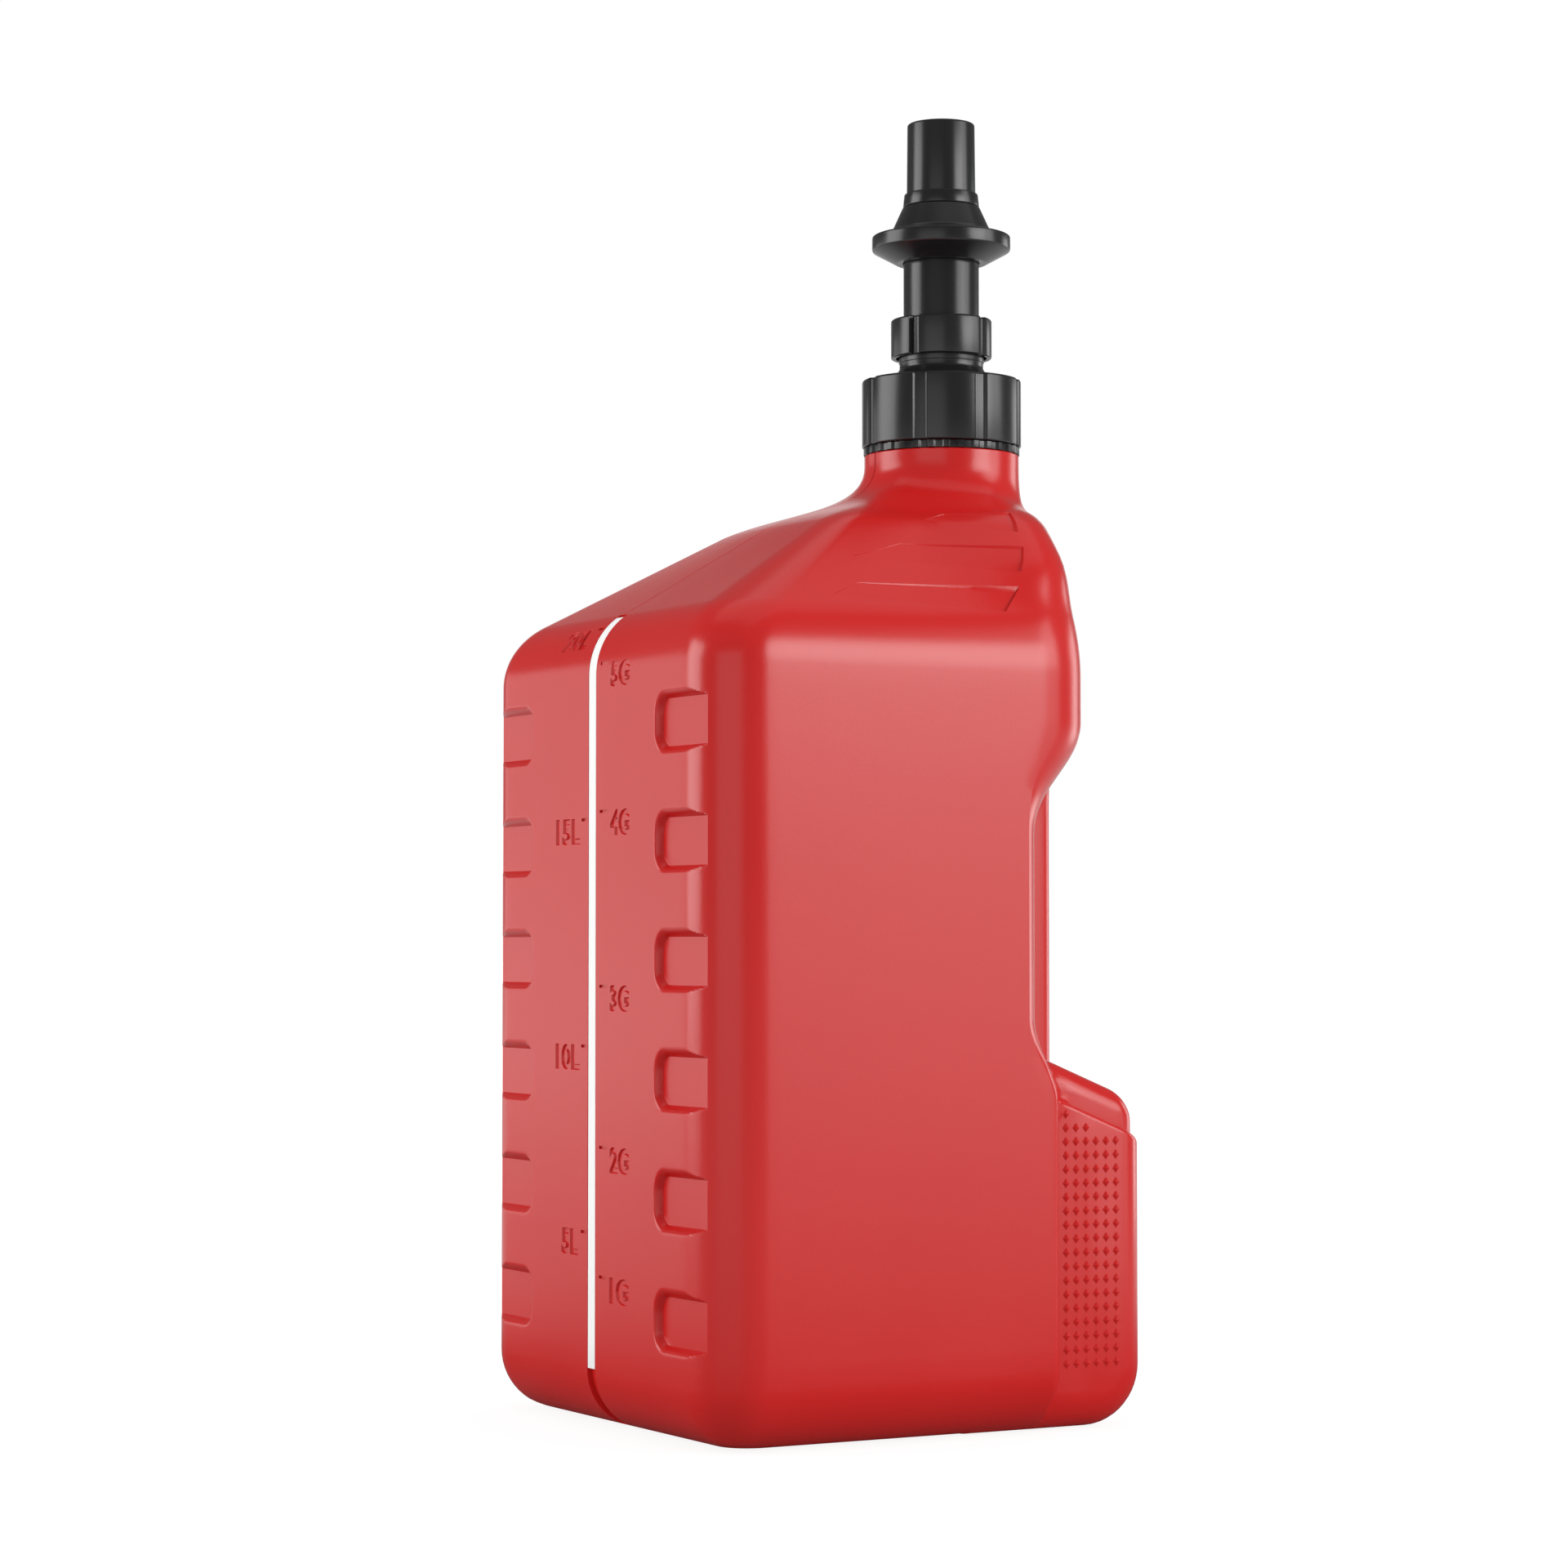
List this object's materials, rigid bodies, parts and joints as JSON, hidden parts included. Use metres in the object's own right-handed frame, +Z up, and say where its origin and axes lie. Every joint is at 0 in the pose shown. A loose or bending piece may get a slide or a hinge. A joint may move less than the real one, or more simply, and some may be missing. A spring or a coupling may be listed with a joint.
{
  "type": "fuel can",
  "caption": "Upright moulded fuel can with a level strip, a rear grip and a sprung quick-fill nozzle on a screw ring",
  "frame": {"origin": "centre of the footprint, on the floor", "axes": "+Z up, the gauge face looks along -Y, +X is the side panel that the picture shows"},
  "size_m": [0.25, 0.25, 0.66],
  "materials": {
    "red_plastic": "semi-matte moulded polyethylene with a fine grain",
    "milky_plastic": "milky unpigmented polyethylene",
    "black_plastic": "satin moulded black plastic",
    "seal_rubber": "matt fuel-proof rubber",
    "steel": "plain drawn stainless steel"
  },
  "bodies": {
    "can": {"can_shell": "red_plastic", "sight_strip": "milky_plastic", "lock_band": "black_plastic"},
    "spout": {"neck_gasket": "seal_rubber", "spout_base": "black_plastic", "gland_seal": "seal_rubber", "stem_cage": "black_plastic", "stem_nut": "steel", "valve_stem": "steel", "valve_head": "black_plastic", "valve_seal": "seal_rubber", "spring_seat": "steel", "return_spring": "steel"},
    "ring": {"cap_ring": "black_plastic"},
    "washer": {"slip_washer": "milky_plastic"},
    "nut": {"gland_nut": "black_plastic"},
    "nozzle": {"slide_tube": "black_plastic", "nozzle_tube": "black_plastic", "stop_flange": "black_plastic", "collar_ring": "black_plastic"}
  },
  "joints": [
    {"name": "spout_lift", "type": "slide", "parent": "can", "child": "spout", "axis": [0, 0, 1], "range_m": [0, 0.018]},
    {"name": "ring_turn", "type": "hinge", "parent": "spout", "child": "ring", "pos_m": [0, 0.076, 0.509], "axis": [0, 0, 1], "range_deg": [0, 1080]},
    {"name": "nut_lift", "type": "slide", "parent": "spout", "child": "washer", "axis": [0, 0, 1], "range_m": [0, 0.003]},
    {"name": "nut_turn", "type": "hinge", "parent": "washer", "child": "nut", "pos_m": [0, 0.076, 0.548], "axis": [0, 0, 1], "range_deg": [0, 360]},
    {"name": "nozzle_slide", "type": "slide", "parent": "spout", "child": "nozzle", "axis": [0, 0, -1], "range_m": [0, 0.024], "stiffness_N_per_m": 600, "springref_m": -0.02, "deforming": ["return_spring"]}
  ],
  "couplings": [
    {"joint": "ring_turn", "follows": "spout_lift", "rad_per_m": 1045},
    {"joint": "nut_turn", "follows": "nut_lift", "rad_per_m": 2090}
  ]
}
